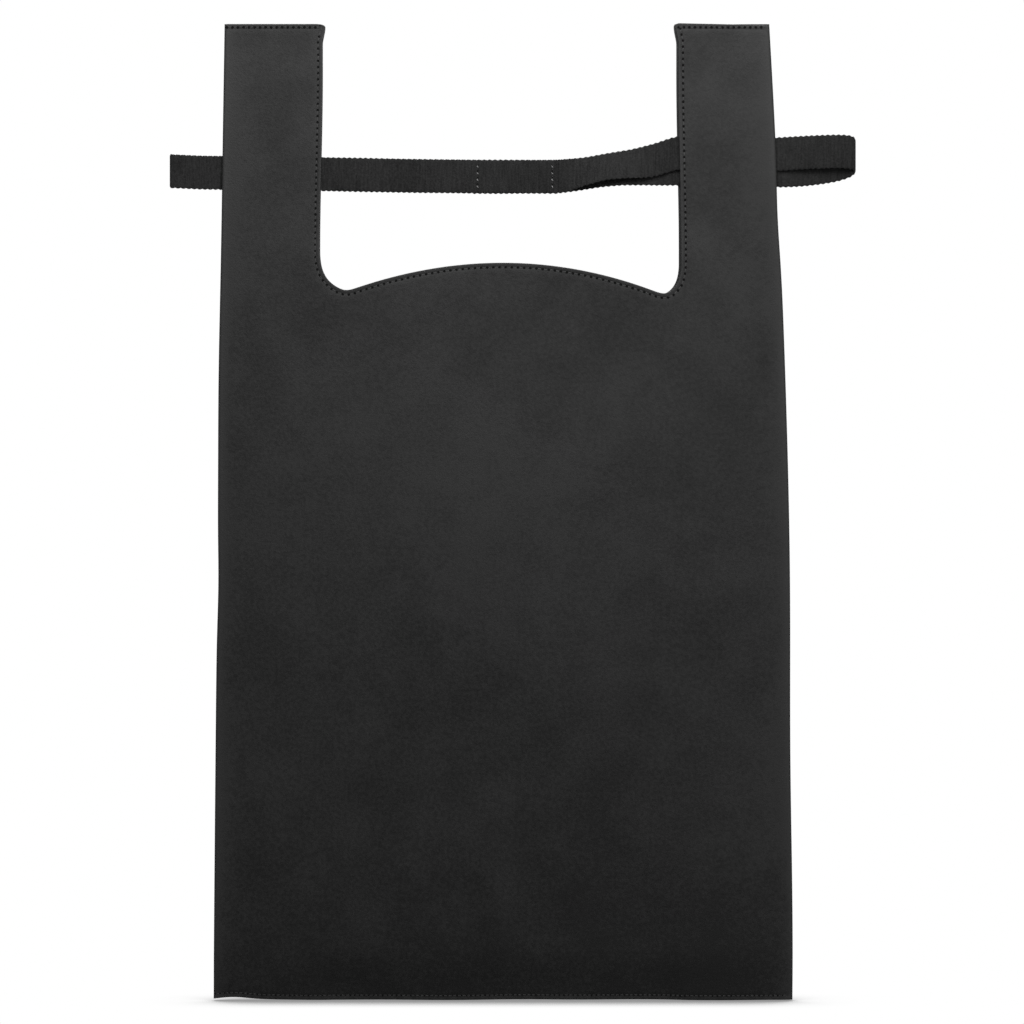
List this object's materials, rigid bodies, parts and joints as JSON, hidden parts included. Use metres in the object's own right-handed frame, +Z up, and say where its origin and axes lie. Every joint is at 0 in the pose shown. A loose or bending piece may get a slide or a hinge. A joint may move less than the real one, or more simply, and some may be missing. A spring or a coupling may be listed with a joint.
{
  "type": "vest-style carrier bag",
  "caption": "Flat leather vest-style carrier bag with folded side gussets, an arched mouth and a closed webbing ring threaded through its two handle loops.",
  "frame": {"origin": "midway between the tops of the two handles, where the bag hangs", "axes": "+Z up along the handles, +X to the bag's right as seen from the front, -Y out of the front"},
  "size_m": [0.414, 0.0114, 0.588],
  "materials": {
    "leather": "matt, fine grain",
    "facing": "matt flesh side",
    "webbing": "ribbed, matt",
    "thread": "waxed thread",
    "strap_thread": "grey thread"
  },
  "bodies": {
    "core": {"left_front_gusset": "leather", "left_back_gusset": "leather", "left_gusset_thread": "thread", "right_front_gusset": "leather", "right_back_gusset": "leather", "right_gusset_thread": "thread", "bottom_seam_thread": "thread", "left_front_handle_root": "leather", "left_front_handle_root_lining": "leather", "left_front_handle_root_thread": "thread", "left_back_handle_root": "leather", "left_back_handle_root_lining": "leather", "left_back_handle_root_thread": "thread", "right_front_handle_root": "leather", "right_front_handle_root_lining": "leather", "right_front_handle_root_thread": "thread", "right_back_handle_root": "leather", "right_back_handle_root_lining": "leather", "right_back_handle_root_thread": "thread"},
    "front": {"front_panel": "leather", "front_neck_facing": "facing", "front_neck_thread": "thread"},
    "back": {"back_panel": "leather", "back_neck_facing": "facing", "back_neck_thread": "thread"},
    "left_handle": {"left_front_handle_tip": "leather", "left_front_handle_tip_lining": "leather", "left_front_handle_tip_thread": "thread", "left_back_handle_tip": "leather", "left_back_handle_tip_lining": "leather", "left_back_handle_tip_thread": "thread", "left_handle_top_thread": "thread"},
    "right_handle": {"right_front_handle_tip": "leather", "right_front_handle_tip_lining": "leather", "right_front_handle_tip_thread": "thread", "right_back_handle_tip": "leather", "right_back_handle_tip_lining": "leather", "right_back_handle_tip_thread": "thread", "right_handle_top_thread": "thread"},
    "strap": {"strap_webbing": "webbing", "strap_join_left_thread": "strap_thread", "strap_join_right_thread": "strap_thread"}
  },
  "joints": [
    {"name": "mouth_front", "type": "hinge", "parent": "core", "child": "front", "pos_m": [0, 0, -0.588], "axis": [1, 0, 0], "range_deg": [0, 5]},
    {"name": "mouth_back", "type": "hinge", "parent": "core", "child": "back", "pos_m": [0, 0, -0.588], "axis": [-1, 0, 0], "range_deg": [0, 5]},
    {"name": "left_handle_fold", "type": "hinge", "parent": "core", "child": "left_handle", "pos_m": [-0.1375, 0, -0.062], "axis": [1, 0, 0], "range_deg": [-110, 110]},
    {"name": "right_handle_fold", "type": "hinge", "parent": "core", "child": "right_handle", "pos_m": [0.1375, 0, -0.062], "axis": [1, 0, 0], "range_deg": [-110, 110]},
    {"name": "strap_slide", "type": "slide", "parent": "core", "child": "strap", "axis": [1, 0, 0], "range_m": [-0.045, 0.004]}
  ],
  "couplings": [
    {"joint": "mouth_back", "follows": "mouth_front", "ratio": 1}
  ]
}
